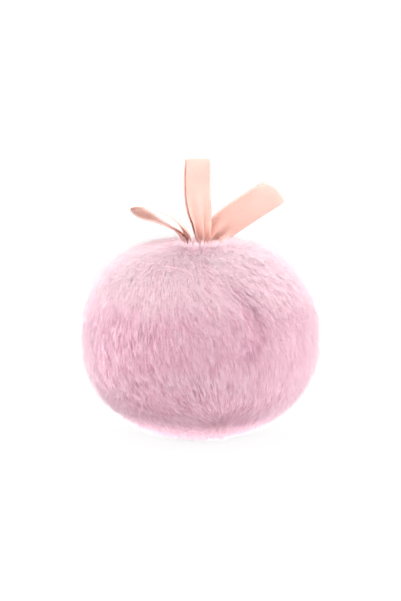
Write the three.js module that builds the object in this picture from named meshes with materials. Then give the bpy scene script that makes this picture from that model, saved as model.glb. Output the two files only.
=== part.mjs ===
// A round plush powder puff with three satin ribbon loops gathered into its top.
// Millimetres, +Z up. The puff stands on the middle of its flat foot at the origin.
// The photograph looks along +Y, so the front is at -Y and +X is on the right.
import * as THREE from "three";

// Driving sizes of the puff.
const puffWidth = 100;
const puffDepth = 96;
const puffHeight = 85;
const outlineFullness = 2.2; // 2 is an ellipse, more is squarer
const footSink = 0.5; // how deep the round underside is cut flat
const pileLength = 14; // plush pile, backing to tips, at the sides
const pileUnderFoot = 12;
const pileOverTop = 14; // down to where the backing would close over the top
const shoulderLean = 0.035; // the left shoulder is this much fuller, the right lower

// The gathered mouth at the top of the pile.
const lipRadius = 17; // where the round top starts to turn down into the mouth
const lipRound = 3; // reach of the rounded lip
const mouthDepth = 10; // from the top of the puff down to the bottom of the funnel

// The backing cloth, its gathered neck and the thread round it.
const clothThickness = 1;
const neckDrop = 8; // from the top of the puff down to the open end of the neck
const neckLength = 5.5; // the part of the neck that the thread draws in
const pleatCount = 10;
const pleatDepth = 1;
const gatherReach = 21; // radius at which the gathers fade into the smooth cloth
const threadDiameter = 0.8;
const threadTurns = 3;
const threadPitch = 1.3;

// The satin ribbon: three loops of it, with folded ends held in the neck.
const ribbonWidth = 12;
const ribbonThickness = 0.5;
const foldPanels = 4; // the ribbon is pleated lengthwise into this many panels at its root
const foldAngle = THREE.MathUtils.degToRad(60); // tilt of each panel at the root
const legSpacing = 1.7; // between the two legs of a loop, at its root
const leftLoopLength = 33.5; // each loop along its middle line, from its bend line to its tip
const centreLoopLength = 40.7;
const rightLoopLength = 41.6;
const tailLength = 9.5; // from the bend line down to the folded ends
const bendRise = 0.75; // the bend line stands this far over the end of the neck
const bendGap = 0.9; // left open where a loop bends on its ends

// Clearances.
const clearance = 0.3;
const bundleRadius = 8; // round the three ribbon roots

// Each loop: where its root stands, in bundle radii, and the middle line that it follows from there
// (x, y, z), as shares of its length. Then how far its legs part on the way to the tip and how much
// its end bows, as shares of the ribbon's width, where it unfolds, as shares of its length, how many
// degrees it turns and between which shares, and how much further its end reaches at one edge, per
// millimetre of width.
const loops = [
  {
    side: "left",
    across: new THREE.Vector3(0, 1, 0),
    length: leftLoopLength,
    root: [-0.6, 0],
    line: [
      [-0.009, 0, 0.112],
      [-0.086, -0.006, 0.28],
      [-0.352, -0.012, 0.486],
      [-0.715, -0.018, 0.642],
    ],
    widest: 0.42,
    widestAt: 0.62,
    unfold: [0.06, 0.448],
    yaw: -20,
    yawOver: [0.4, 0.95],
    endBow: 0.025,
    endSlant: 0,
    colour: 0xf9cfc3,
  },
  {
    side: "centre",
    across: new THREE.Vector3(1, 0, 0),
    length: centreLoopLength,
    root: [0.2, -0.45],
    line: [
      [-0.002, -0.009, 0.129],
      [-0.034, -0.03, 0.3],
      [-0.063, -0.032, 0.545],
      [-0.069, -0.018, 0.792],
      [-0.06, -0.008, 0.993],
    ],
    widest: 0.13,
    widestAt: 0.6,
    unfold: [0.123, 0.688],
    yaw: 34,
    yawOver: [0.08, 0.36],
    endBow: 0.017,
    endSlant: 0.05,
    colour: 0xfddcd3,
  },
  {
    side: "right",
    across: new THREE.Vector3(1, 0, 0),
    length: rightLoopLength,
    root: [0.3875, 0.45],
    line: [
      [0.014, 0.001, 0.083],
      [0.083, 0.012, 0.192],
      [0.184, 0.018, 0.29],
      [0.418, 0.02, 0.452],
      [0.706, 0.02, 0.638],
    ],
    widest: 0.283,
    widestAt: 0.6,
    unfold: [0.048, 0.432],
    yaw: 0,
    yawOver: [0.08, 0.36],
    endBow: 0.12,
    endSlant: 0.27,
    colour: 0xfbdcd2,
  },
];

// Sizes that follow from the ones above.
const roundHeight = puffHeight + footSink;
const roundCentre = roundHeight / 2 - footSink;
const neckTop = puffHeight - neckDrop;
const neckFoot = neckTop - neckLength;
const bendHeight = neckTop + bendRise;
const neckInside = bundleRadius + clearance;
const neckOutside = neckInside + clothThickness + pleatDepth;
const threadRadius = neckOutside + clearance + threadDiameter / 2;
const mouthRadius = threadRadius + threadDiameter / 2 + clearance;
const mouthFloor = puffHeight - mouthDepth;
const ballHalfWidth = puffWidth / 2 - pileLength;
const ballTop = puffHeight - pileOverTop;
const ballHalfHeight = (ballTop - pileUnderFoot) / 2;
const ballCentre = pileUnderFoot + ballHalfHeight;

// How finely the round pieces are cut into rings and segments.
const roundSegments = 40;
const pileRings = 17;
const ballRings = 9;
const funnelRings = 6;
const gatherRings = 4;
const domeRings = 3;
const pleatSegments = 4; // to each pleat of the neck
const threadSides = 6;
const threadSteps = 24; // to each turn
const loopSteps = 44;
const endLegSteps = 3;
const endTurnSteps = 6;

const smooth = (from, to, value) => THREE.MathUtils.smoothstep(value, from, to);

function closedSurface(positions, index) {
  const geometry = new THREE.BufferGeometry();
  geometry.setAttribute("position", new THREE.Float32BufferAttribute(positions, 3));
  geometry.setIndex(index);
  geometry.computeVertexNormals();
  return geometry;
}

// A point of a superellipse: fullness 2 gives an ellipse.
function roundPoint(halfWidth, halfHeight, centre, latitude) {
  const power = 2 / outlineFullness;
  const across = halfWidth * Math.abs(Math.cos(latitude)) ** power;
  const up = halfHeight * Math.abs(Math.sin(latitude)) ** power * Math.sign(latitude);
  return new THREE.Vector2(across, centre + up);
}

// The latitude of a superellipse at which its radius is the one given, above or below the middle.
function latitudeAt(radius, halfWidth, sign) {
  return sign * Math.acos((radius / halfWidth) ** (outlineFullness / 2));
}

function arcPoints(halfWidth, halfHeight, centre, from, to, count) {
  return Array.from({ length: count + 1 }, (_, i) =>
    roundPoint(halfWidth, halfHeight, centre, from + ((to - from) * i) / count),
  );
}

// Moves each point of an open outline outwards, away from its left-hand side, by a distance.
function offset(points, distance) {
  return points.map((point, i) => {
    const ahead = points[Math.min(i + 1, points.length - 1)];
    const behind = points[Math.max(i - 1, 0)];
    const run = ahead.clone().sub(behind).normalize();
    const moved = point.clone().add(new THREE.Vector2(run.y, -run.x).multiplyScalar(distance));
    return moved.setX(Math.max(0, moved.x));
  });
}

// A closed solid from runs of outline that together start and end on the axis, up the outside
// first. Each run has its points and place(radius, height, angle), where a point of it lies at an
// angle round the axis.
function turned(runs, segments) {
  const positions = [];
  const index = [];
  const put = (point) => positions.push(point.x, point.y, point.z);
  const outline = runs.flatMap(({ points, place }) => points.map((point) => ({ point, place })));
  const rings = outline.slice(1, -1);
  const last = rings.length - 1;
  const end = 1 + rings.length * segments;
  const at = (ring, j) => 1 + ring * segments + (j % segments);
  put(outline[0].place(0, outline[0].point.y, 0));
  rings.forEach(({ point, place }) => {
    for (let j = 0; j < segments; j += 1) {
      put(place(point.x, point.y, (j / segments) * 2 * Math.PI));
    }
  });
  put(outline.at(-1).place(0, outline.at(-1).point.y, 0));
  for (let j = 0; j < segments; j += 1) {
    index.push(0, at(0, j + 1), at(0, j));
    for (let i = 0; i < last; i += 1) {
      index.push(at(i, j), at(i, j + 1), at(i + 1, j + 1));
      index.push(at(i, j), at(i + 1, j + 1), at(i + 1, j));
    }
    index.push(end, at(last, j), at(last, j + 1));
  }
  return closedSurface(positions, index);
}

// A point round the axis: round at the neck, and as deep front to back as the piece further out.
function gathered(depthShare) {
  return (radius, height, angle) => {
    const share = THREE.MathUtils.lerp(1, depthShare, smooth(mouthRadius, gatherReach, radius));
    return new THREE.Vector3(radius * Math.cos(angle), radius * Math.sin(angle) * share, height);
  };
}

const ofPile = gathered(puffDepth / puffWidth);
const ofBacking = gathered((puffDepth / 2 - pileLength) / ballHalfWidth);

// The line down the outside of the backing, over the crests of its gathers.
function backingOutline() {
  const foot = latitudeAt(gatherReach, ballHalfWidth, 1);
  const ball = arcPoints(ballHalfWidth, ballHalfHeight, ballCentre, -Math.PI / 2, foot, ballRings);
  const shoulder = ball.at(-1);
  const gathers = new THREE.QuadraticBezierCurve(
    shoulder,
    new THREE.Vector2(neckOutside, shoulder.y + clothThickness),
    new THREE.Vector2(neckOutside, neckFoot),
  );
  return [...ball, ...gathers.getPoints(gatherRings).slice(1)];
}

// The line up the outside of the plush tips, over the lip and down the funnel at the top.
function pileOutline() {
  const halfWidth = puffWidth / 2;
  const halfHeight = roundHeight / 2;
  const footRadius =
    halfWidth * (1 - (roundCentre / halfHeight) ** outlineFullness) ** (1 / outlineFullness);
  const low = latitudeAt(footRadius, halfWidth, -1);
  const high = latitudeAt(lipRadius, halfWidth, 1);
  const sides = arcPoints(halfWidth, halfHeight, roundCentre, low, high, pileRings);
  const lip = sides.at(-1);
  const rise = lip.clone().sub(sides.at(-2)).setLength(lipRound);
  const funnel = new THREE.CubicBezierCurve(
    lip,
    lip.clone().add(rise),
    new THREE.Vector2(mouthRadius, lip.y),
    new THREE.Vector2(mouthRadius, mouthFloor),
  );
  return [new THREE.Vector2(0, 0), ...sides, ...funnel.getPoints(funnelRings).slice(1)];
}

// Soft hollows in the front of the plush, where its locks part: the middle and half the width and
// height of each, as shares of the puff's width and height, and its depth, of the pile's length.
const hollows = [
  { middle: [0.26, 0.553], reach: [0.05, 0.165], depth: 0.114 },
  { middle: [0.02, 0.824], reach: [0.03, 0.118], depth: 0.1 },
  { middle: [0.07, 0.118], reach: [0.11, 0.059], depth: 0.129 },
];

const plushFrom = 1.4; // in lip radii: further out the lean and the hollows are at their full depth
const frontFrom = 0.25; // in puff depths, how far forward a hollow gets its full depth

function plush(radius, height, angle) {
  const point = ofPile(radius, height, angle);
  const outside = smooth(mouthRadius, plushFrom * lipRadius, radius);
  point.x *= 1 - shoulderLean * smooth(roundCentre, puffHeight, height) * outside * Math.cos(angle);
  const onFront = smooth(0, frontFrom * puffDepth, -point.y) * outside;
  hollows.forEach((hollow) => {
    const across = (point.x / puffWidth - hollow.middle[0]) / hollow.reach[0];
    const up = (point.z / puffHeight - hollow.middle[1]) / hollow.reach[1];
    const share = Math.exp(-across * across - up * up) * onFront;
    point.y += hollow.depth * pileLength * share;
  });
  return point;
}

function furPile() {
  const inside = offset(backingOutline(), clearance);
  const low = inside.findIndex((point) => point.x < mouthRadius && point.y > ballCentre);
  const wall = [
    new THREE.Vector2(mouthRadius, inside[low].y),
    ...inside.slice(0, low).reverse(),
  ];
  const outside = { points: pileOutline(), place: plush };
  return turned([outside, { points: wall, place: ofBacking }], roundSegments);
}

// The gathers: the cloth runs in and out round the neck and smooths out over the ball.
function pleated(radius, height, angle) {
  const share = 1 - smooth(neckOutside, gatherReach, radius);
  const onTop = height > ballCentre ? share : 0;
  const inwards = (pleatDepth / 2) * (1 - Math.cos(pleatCount * angle)) * onTop;
  return ofBacking(Math.max(0, radius - inwards), height, angle);
}

function coverBacking() {
  const outside = [...backingOutline(), new THREE.Vector2(neckOutside, neckTop)];
  const inside = offset(outside, -clothThickness).reverse();
  const around = pleatCount * pleatSegments;
  return turned([{ points: [...outside, ...inside], place: pleated }], around);
}

// The filling rounds over under the folded ends of the ribbon.
function stuffing() {
  const side = offset(backingOutline(), -clothThickness - clearance);
  const shoulder = side.findIndex((point) => point.x < gatherReach && point.y > ballCentre);
  const top = neckTop - tailLength - 2 * clearance;
  const dome = new THREE.QuadraticBezierCurve(
    side[shoulder - 1],
    new THREE.Vector2(gatherReach / 2, top),
    new THREE.Vector2(0, top),
  );
  const points = [...side.slice(0, shoulder), ...dome.getPoints(domeRings).slice(1)];
  return turned([{ points, place: ofBacking }], roundSegments);
}

// A thread wound round the gathered neck, in one run.
class Winding extends THREE.Curve {
  getPoint(t) {
    const angle = 2 * Math.PI * threadTurns * t;
    const height = neckFoot + clearance + threadDiameter + threadPitch * threadTurns * t;
    return new THREE.Vector3(threadRadius * Math.cos(angle), threadRadius * Math.sin(angle), height);
  }
}

function gatherThread() {
  const sides = threadSides;
  const section = new THREE.Shape(
    Array.from({ length: sides }, (_, i) => {
      const angle = (i / sides) * 2 * Math.PI;
      return new THREE.Vector2(Math.cos(angle), Math.sin(angle)).multiplyScalar(
        threadDiameter / 2,
      );
    }),
  );
  console.log("gather thread, least gap to itself (mm):", threadPitch - threadDiameter);
  return new THREE.ExtrudeGeometry(section, {
    steps: threadTurns * threadSteps,
    extrudePath: new Winding(),
    bevelEnabled: false,
  });
}

// Where the middle of the ribbon's width goes in and out when it is pleated lengthwise.
function foldWave(u) {
  const panel = ribbonWidth / foldPanels;
  const along = (((u + ribbonWidth / 2) % (2 * panel)) + 2 * panel) % (2 * panel);
  return panel / 2 - Math.abs(along - panel);
}

// A ribbon swept along a run of stations. Each station has its middle, the direction across the
// ribbon, the direction that its pleats go in and out, its face normal and its fold angle.
function ribbonAlong(stations) {
  const panels = foldPanels * 2;
  const ring = [];
  for (let i = 0; i <= panels; i += 1) ring.push([i, 1]);
  for (let i = panels; i >= 0; i -= 1) ring.push([i, -1]);
  const positions = [];
  stations.forEach((station) => {
    const half = ribbonThickness / 2 / Math.cos(station.fold);
    ring.forEach(([i, face]) => {
      const u = (i / panels - 0.5) * ribbonWidth;
      const bow = station.slant * u - station.bow * ((2 * u) / ribbonWidth) ** 2;
      const point = station.middle
        .clone()
        .addScaledVector(station.across, u * Math.cos(station.fold))
        .addScaledVector(station.pleat, foldWave(u) * Math.sin(station.fold))
        .addScaledVector(station.normal, face * half)
        .addScaledVector(station.onward, bow);
      positions.push(point.x, point.y, point.z);
    });
  });
  const index = [];
  const count = ring.length;
  const at = (i, j) => i * count + (j % count);
  for (let i = 0; i < stations.length - 1; i += 1) {
    for (let j = 0; j < count; j += 1) {
      index.push(at(i, j), at(i + 1, j + 1), at(i, j + 1));
      index.push(at(i, j), at(i + 1, j), at(i + 1, j + 1));
    }
  }
  const last = stations.length - 1;
  for (let j = 0; j < panels; j += 1) {
    const other = count - 1 - j;
    index.push(at(0, j), at(0, j + 1), at(0, other));
    index.push(at(0, j + 1), at(0, other - 1), at(0, other));
    index.push(at(last, j), at(last, other), at(last, j + 1));
    index.push(at(last, j + 1), at(last, other), at(last, other - 1));
  }
  return closedSurface(positions, index);
}

// Shares of a loop's length: up to the first its legs lie together, and from the second on its end
// turns round, where it still has the third's share of its widest opening.
const closedTo = 0.18;
const turnFrom = 0.9;
const turnWidth = 0.86;
const bowFrom = 0.7; // the end bows and slants from here on

// The point on a loop's root that its bend line goes through.
function bendPoint({ root }) {
  return new THREE.Vector3(root[0] * bundleRadius, root[1] * bundleRadius, bendHeight);
}

// The round trip of a loop in its own flat: height above the bend line and half the leg spacing.
function loopRound({ length, widest, widestAt }) {
  const root = legSpacing / 2;
  const wide = (widest * ribbonWidth) / 2;
  const leg = [
    [bendGap / 2, root],
    [length * closedTo, root],
    [length * widestAt, wide],
    [length * turnFrom, wide * turnWidth],
  ];
  const out = leg.map(([height, half]) => new THREE.Vector3(height, -half, 0));
  const back = leg.map(([height, half]) => new THREE.Vector3(height, half, 0)).reverse();
  const tip = new THREE.Vector3(length - ribbonThickness / 2, 0, 0);
  return new THREE.CatmullRomCurve3([...out, tip, ...back], false, "centripetal");
}

function ribbonLoop(loop) {
  const bend = bendPoint(loop);
  const points = loop.line.map((point) =>
    new THREE.Vector3(...point).multiplyScalar(loop.length).add(bend),
  );
  const middleLine = new THREE.CatmullRomCurve3([bend, ...points], false, "centripetal");
  const path = loopRound(loop);
  const yaw = THREE.MathUtils.degToRad(loop.yaw);
  const stations = Array.from({ length: loopSteps + 1 }, (_, i) => {
    const flat = path.getPointAt(i / loopSteps);
    const heading = path.getTangentAt(i / loopSteps);
    const share = THREE.MathUtils.clamp(flat.x / loop.length, 0, 1);
    const onward = middleLine.getTangentAt(share);
    const unfolded = smooth(...loop.unfold, share);
    const turn = yaw * smooth(...loop.yawOver, share);
    const outwards = loop.across.clone().cross(onward).normalize();
    const across = onward.clone().cross(outwards).normalize().applyAxisAngle(onward, turn);
    const depth = onward.clone().cross(across).normalize();
    const normal = depth
      .clone()
      .multiplyScalar(heading.x)
      .addScaledVector(onward, -heading.y)
      .normalize();
    return {
      middle: middleLine.getPointAt(share).addScaledVector(depth, flat.y),
      across,
      pleat: depth,
      normal,
      onward,
      fold: foldAngle * (1 - unfolded),
      bow: loop.endBow * ribbonWidth * smooth(bowFrom, 1, share),
      slant: loop.endSlant * smooth(bowFrom, 1, share),
    };
  });
  return ribbonAlong(stations);
}

// The folded ends of one loop, held in the neck below the bend line: one leg goes down, the other
// comes back up.
function ribbonEnds(loop) {
  const bend = bendPoint(loop);
  const down = new THREE.Vector3(0, 0, -1);
  const depth = loop.across.clone().cross(down).negate();
  const half = legSpacing / 2;
  const top = bendGap / 2;
  const turnAt = tailLength - half - ribbonThickness;
  const legOut = Array.from(
    { length: endLegSteps },
    (_, i) => new THREE.Vector2(THREE.MathUtils.lerp(top, turnAt, i / endLegSteps), -half),
  );
  const turn = Array.from({ length: endTurnSteps + 1 }, (_, i) => {
    const angle = -Math.PI / 2 + (Math.PI * i) / endTurnSteps;
    return new THREE.Vector2(turnAt + half * Math.cos(angle), half * Math.sin(angle));
  });
  const legBack = legOut.map((point) => new THREE.Vector2(point.x, half)).reverse();
  const route = [...legOut, ...turn, ...legBack];
  const stations = route.map((point, i) => {
    const ahead = route[Math.min(i + 1, route.length - 1)];
    const behind = route[Math.max(i - 1, 0)];
    const heading = ahead.clone().sub(behind).normalize();
    return {
      middle: bend.clone().addScaledVector(down, point.x).addScaledVector(depth, point.y),
      across: loop.across,
      pleat: depth,
      normal: depth.clone().multiplyScalar(heading.x).addScaledVector(down, -heading.y),
      onward: down,
      fold: foldAngle,
      bow: 0,
      slant: 0,
    };
  });
  return ribbonAlong(stations);
}

const looks = {
  plush: { color: 0xf2c3d4, roughness: 0.95, metalness: 0 },
  cloth: { color: 0xf0c2d2, roughness: 0.9, metalness: 0 },
  filling: { color: 0xf6f2ec, roughness: 1, metalness: 0 },
  thread: { color: 0xf3d3dc, roughness: 0.7, metalness: 0 },
};

function piece(name, geometry, look) {
  const mesh = new THREE.Mesh(geometry, new THREE.MeshStandardMaterial(look));
  mesh.name = name;
  return mesh;
}

const puff = new THREE.Group();
puff.add(piece("fur_pile", furPile(), looks.plush));
puff.add(piece("cover_backing", coverBacking(), looks.cloth));
puff.add(piece("stuffing", stuffing(), looks.filling));
puff.add(piece("gather_thread", gatherThread(), looks.thread));
loops.forEach((loop) => {
  const satin = { color: loop.colour, roughness: 0.4, metalness: 0 };
  puff.add(piece(`ribbon_ends_${loop.side}`, ribbonEnds(loop), satin));
  puff.add(piece(`ribbon_loop_${loop.side}`, ribbonLoop(loop), satin));
});

export default puff;
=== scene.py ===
# A round plush powder puff with three satin ribbon loops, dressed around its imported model.
# Sizes here are in millimetres, and MM turns them into metres. The front is at -Y, up is +Z.
import math

import bmesh
import bpy
import numpy as np
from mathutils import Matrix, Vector, kdtree, noise


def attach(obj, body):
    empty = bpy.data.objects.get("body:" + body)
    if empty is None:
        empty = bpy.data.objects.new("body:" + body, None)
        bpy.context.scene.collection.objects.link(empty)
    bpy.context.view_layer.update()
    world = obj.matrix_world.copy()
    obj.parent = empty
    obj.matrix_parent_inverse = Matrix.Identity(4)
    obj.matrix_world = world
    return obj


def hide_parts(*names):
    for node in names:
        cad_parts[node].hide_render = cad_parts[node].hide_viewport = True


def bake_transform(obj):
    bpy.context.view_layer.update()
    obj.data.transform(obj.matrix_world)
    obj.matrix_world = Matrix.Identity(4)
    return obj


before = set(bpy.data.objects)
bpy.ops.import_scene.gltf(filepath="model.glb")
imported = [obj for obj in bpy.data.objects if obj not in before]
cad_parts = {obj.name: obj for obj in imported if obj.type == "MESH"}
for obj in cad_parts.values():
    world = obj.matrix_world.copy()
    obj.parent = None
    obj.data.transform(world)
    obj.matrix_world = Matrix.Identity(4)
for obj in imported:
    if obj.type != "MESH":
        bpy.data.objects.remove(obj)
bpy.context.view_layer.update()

MM = 0.001
SEED = 11
rng = np.random.default_rng(SEED)

# Camera
PHOTO_MM = 253.6  # height of the photographed frame at the object
CAMERA_TILT = 8.0  # degrees above the horizon
LENS = 100.0
SENSOR = 36.0
AIM = Vector((0.2, 0, 57.8)) * MM

distance = PHOTO_MM * MM * LENS / SENSOR
tilt = math.radians(CAMERA_TILT)
camera_data = bpy.data.cameras.new("camera")
camera_data.lens = LENS
camera_data.sensor_width = SENSOR
camera = bpy.data.objects.new("camera", camera_data)
bpy.context.scene.collection.objects.link(camera)
camera.location = AIM + Vector((0, -math.cos(tilt), math.sin(tilt))) * distance
camera.rotation_euler = (math.pi / 2 - tilt, 0, 0)
bpy.context.scene.camera = camera
bpy.context.scene.view_settings.view_transform = "Standard"


# Material helpers
def rgb(code):
    """Linear colour of an sRGB hex code."""
    parts = [int(code[i : i + 2], 16) / 255 for i in (1, 3, 5)]
    linear = [c / 12.92 if c <= 0.04045 else ((c + 0.055) / 1.055) ** 2.4 for c in parts]
    return (*linear, 1)


class Nodes:
    """A node tree, with short calls that make and link nodes."""

    def __init__(self, tree, output):
        self.tree = tree
        self.tree.nodes.clear()
        self.output = self.add(output)

    def add(self, kind, **settings):
        node = self.tree.nodes.new(kind)
        for key, value in settings.items():
            setattr(node, key, value)
        return node

    def join(self, source, target):
        self.tree.links.new(source, target)

    def plug(self, target, value):
        if isinstance(value, bpy.types.NodeSocket):
            self.join(value, target)
        else:
            target.default_value = value

    def principled(self, **values):
        node = self.add("ShaderNodeBsdfPrincipled")
        for key, value in values.items():
            self.plug(node.inputs[key.replace("_", " ")], value)
        self.join(node.outputs[0], self.output.inputs["Surface"])

    def uv(self, name):
        node = self.add("ShaderNodeUVMap", uv_map=name)
        split = self.add("ShaderNodeSeparateXYZ")
        self.join(node.outputs[0], split.inputs[0])
        return split.outputs[0], split.outputs[1]

    def ramp(self, factor, stops):
        node = self.add("ShaderNodeValToRGB")
        elements = node.color_ramp.elements
        while len(elements) < len(stops):
            elements.new(0.5)
        for element, (position, colour) in zip(elements, stops):
            element.position = position
            element.color = rgb(colour) if isinstance(colour, str) else (colour,) * 3 + (1,)
        self.plug(node.inputs[0], factor)
        return node.outputs[0]

    def math(self, operation, a, b=0.0):
        node = self.add("ShaderNodeMath", operation=operation)
        self.plug(node.inputs[0], a)
        self.plug(node.inputs[1], b)
        return node.outputs[0]

    def mix(self, factor, a, b, blend="MIX"):
        node = self.add("ShaderNodeMix", data_type="RGBA", blend_type=blend)
        self.plug(node.inputs[0], factor)
        self.plug(node.inputs[6], a)
        self.plug(node.inputs[7], b)
        return node.outputs[2]

    def noise(self, scale, detail=2.0, stretch=(1, 1, 1)):
        coords = self.add("ShaderNodeTexCoord")
        mapping = self.add("ShaderNodeMapping")
        mapping.inputs["Scale"].default_value = stretch
        self.join(coords.outputs["Object"], mapping.inputs[0])
        node = self.add("ShaderNodeTexNoise")
        node.inputs["Scale"].default_value = scale
        node.inputs["Detail"].default_value = detail
        self.join(mapping.outputs[0], node.inputs["Vector"])
        return node.outputs["Fac"]

    def bump(self, height, distance, strength=1.0):
        node = self.add("ShaderNodeBump")
        node.inputs["Distance"].default_value = distance
        node.inputs["Strength"].default_value = strength
        self.join(height, node.inputs["Height"])
        return node.outputs[0]

    def seen_directly(self):
        """One for what the camera sees, also in a reflection or through glass, and zero for light."""
        path = self.add("ShaderNodeLightPath")
        seen = self.math("MAXIMUM", path.outputs["Is Camera Ray"], path.outputs["Is Glossy Ray"])
        return self.math("MAXIMUM", seen, path.outputs["Is Transmission Ray"])

    def show(self, factor, unseen, seen):
        """Sends a mix of two shaders to the output."""
        mixed = self.add("ShaderNodeMixShader")
        for target, source in zip(mixed.inputs, (factor, unseen, seen)):
            self.join(source, target)
        self.join(mixed.outputs[0], self.output.inputs["Surface"])


class Material(Nodes):
    """A material, with its node tree."""

    def __init__(self, name):
        self.material = bpy.data.materials.new(name)
        self.material.use_nodes = True
        super().__init__(self.material.node_tree, "ShaderNodeOutputMaterial")


# Mesh helpers
def smooth(low, high, value):
    t = np.clip((value - low) / (high - low), 0, 1)
    return t * t * (3 - 2 * t)


def unit(v):
    return v / np.maximum(np.linalg.norm(v, axis=-1, keepdims=True), 1e-9)


def mesh_object(name, points, faces, material, smooth_faces=True):
    """An object from points in millimetres and its faces, turned to face out if it is closed."""
    data = bpy.data.meshes.new(name)
    data.from_pydata((np.asarray(points) * MM).tolist(), [], [list(f) for f in faces])
    data.materials.append(material)
    if smooth_faces:
        data.shade_smooth()
    data.validate()
    solid = bmesh.new()
    solid.from_mesh(data)
    if solid.calc_volume(signed=True) < 0:
        data.flip_normals()
    solid.free()
    made = bpy.data.objects.new(name, data)
    bpy.context.scene.collection.objects.link(made)
    return made


def grid_faces(rows, columns, wrap_rows=False, wrap_columns=False):
    """Quads of a grid of points, row by row."""
    faces = []
    for i in range(rows if wrap_rows else rows - 1):
        for j in range(columns if wrap_columns else columns - 1):
            a, b = i * columns, (i + 1) % rows * columns
            k = (j + 1) % columns
            faces.append((a + j, b + j, b + k, a + k))
    return faces


def tube(middle, radius, out, sides=8):
    """Points and faces of a closed tube along a line. out points across the line at each point."""
    ahead = unit(np.gradient(middle, axis=0))
    out = unit(out - ahead * (out * ahead).sum(1, keepdims=True))
    beside = np.cross(ahead, out)
    angle = (np.arange(sides) * 2 * math.pi / sides)[None, :, None]
    ring = middle[:, None] + radius[:, None, None] * (
        out[:, None] * np.cos(angle) + beside[:, None] * np.sin(angle)
    )
    faces = grid_faces(len(middle), sides, wrap_columns=True)
    faces.append(tuple(range(sides)))
    faces.append(tuple((len(middle) - 1) * sides + np.arange(sides))[::-1])
    return ring.reshape(-1, 3), faces


# The puff's outer form
HALF_WIDTH, HALF_DEPTH = 50.0, 48.0
HALF_HEIGHT, MIDDLE = 42.75, 42.25
FULLNESS = 2.2  # 2 is an ellipse, and more is fuller
TOP = 85.0
LEAN = 0.035  # share by which the left shoulder is fuller and the right one slimmer
DROOP_LEFT, DROOP_RIGHT = 0.1, 0.3  # how far each shoulder has sunk beside the gathered top
MOUTH_RADIUS, MOUTH_REACH = 11.7, 23.8  # the form leans only outside the mouth
FOOT_HEIGHT = 2.0  # below this the floor presses the pile up
FOOT_PRESS = 0.76
FLOOR_GAP = 0.1

# Dents in the front of the pile: a line through x and z, its depth and its half width.
DENTS = [
    ([[12, 67], [18.5, 62], [23, 56], [25.3, 49], [24.5, 44], [19, 38.5]], 1.5, 3.4),
    ([[1.5, 80.0], [2.5, 60.0]], 0.3, 1.5),
    ([[-1.4, 75.4], [-1.6, 71.1], [-2.2, 67.5]], 0.8, 0.9),
]
DENT_FADE = 20.0  # the dents come in over this much of the way forward from the middle
DENTED_TO = 6.0  # the depth under the tips at which a dent has died away

# The swirl low on the front: its dent, and the point that the locks run towards.
SWIRL_X, SWIRL_Z = 12, 14
SWIRL_WIDE, SWIRL_HIGH, SWIRL_DEPTH = 11, 4.5, 1.6
GATHERED = np.array([7.4, -38.0, 13.5])


def radius_along(u):
    across = np.hypot(u[:, 0], u[:, 1] * HALF_WIDTH / HALF_DEPTH)
    share = (across / HALF_WIDTH) ** FULLNESS + (np.abs(u[:, 2]) / HALF_HEIGHT) ** FULLNESS
    return share ** (-1 / FULLNESS)


def outward(u):
    """Unit normals of the round form in the directions u."""
    deep = HALF_WIDTH / HALF_DEPTH
    p = u * radius_along(u)[:, None]
    across = np.maximum(np.hypot(p[:, 0], p[:, 1] * deep), 1e-6)
    side = (across / HALF_WIDTH) ** (FULLNESS - 1) / HALF_WIDTH / across
    up = (np.abs(p[:, 2]) / HALF_HEIGHT) ** (FULLNESS - 1) / HALF_HEIGHT * np.sign(p[:, 2])
    return unit(np.stack([side * p[:, 0], side * p[:, 1] * deep**2, up], 1))


def to_line(points, line):
    """Distance of 2-D points to a broken line."""
    best = np.full(len(points), 1e9)
    for a, b in zip(line[:-1], line[1:]):
        t = np.clip((points - a) @ (b - a) / ((b - a) @ (b - a)), 0, 1)
        best = np.minimum(best, np.linalg.norm(points - a - t[:, None] * (b - a), axis=1))
    return best


def dents(p):
    """How deep the plush is dented at points near its surface, in millimetres."""
    flat = p[:, [0, 2]]
    total = 0
    for line, depth, width in DENTS:
        total = total + depth * np.exp(-((to_line(flat, np.array(line)) / width) ** 2))
    across = (p[:, 0] - SWIRL_X) / SWIRL_WIDE
    up = (p[:, 2] - SWIRL_Z) / SWIRL_HIGH
    total = total + SWIRL_DEPTH * np.exp(-(across**2) - up**2)
    return total * smooth(0, DENT_FADE, -p[:, 1])


def shaped(u, depth):
    """Points at a depth under the tips of the pile, in the directions u from the middle."""
    p = u * (radius_along(u) - depth)[:, None]
    p[:, 2] += MIDDLE
    round_radius = np.maximum(np.hypot(p[:, 0], p[:, 1] * HALF_WIDTH / HALF_DEPTH), 1e-6)
    outside = smooth(MOUTH_RADIUS, MOUTH_REACH, round_radius)
    p[:, 0] *= 1 - LEAN * smooth(MIDDLE, TOP, p[:, 2]) * outside * p[:, 0] / round_radius
    to_right = smooth(-20, 20, p[:, 0])
    beside = smooth(14, 26, round_radius) * smooth(46, 34, round_radius) * (p[:, 2] > MIDDLE)
    p[:, 2] -= (DROOP_LEFT + (DROOP_RIGHT - DROOP_LEFT) * to_right) * beside
    p -= u * (dents(p) * smooth(DENTED_TO, 0, depth))[:, None]
    low = p[:, 2] < FOOT_HEIGHT
    p[low, 2] = FLOOR_GAP + (p[low, 2] - (MIDDLE - HALF_HEIGHT)) * FOOT_PRESS
    p[:, 2] = np.maximum(p[:, 2], FLOOR_GAP)
    return p


RIGHTWARD = 0.3  # how much the locks turn to the right on their way down
PULL, PULL_LEFT = 0.6, 0.34  # how far the swirl draws the locks in, and how much more on the left
PULL_DOWN = 0.35  # from the left the locks come in to the swirl from above, by this share
PARTED_BY = 0.15  # how far the locks turn away from the parting under the ribbons
PARTING_X, PARTING_WIDE = 2, 5


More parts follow.
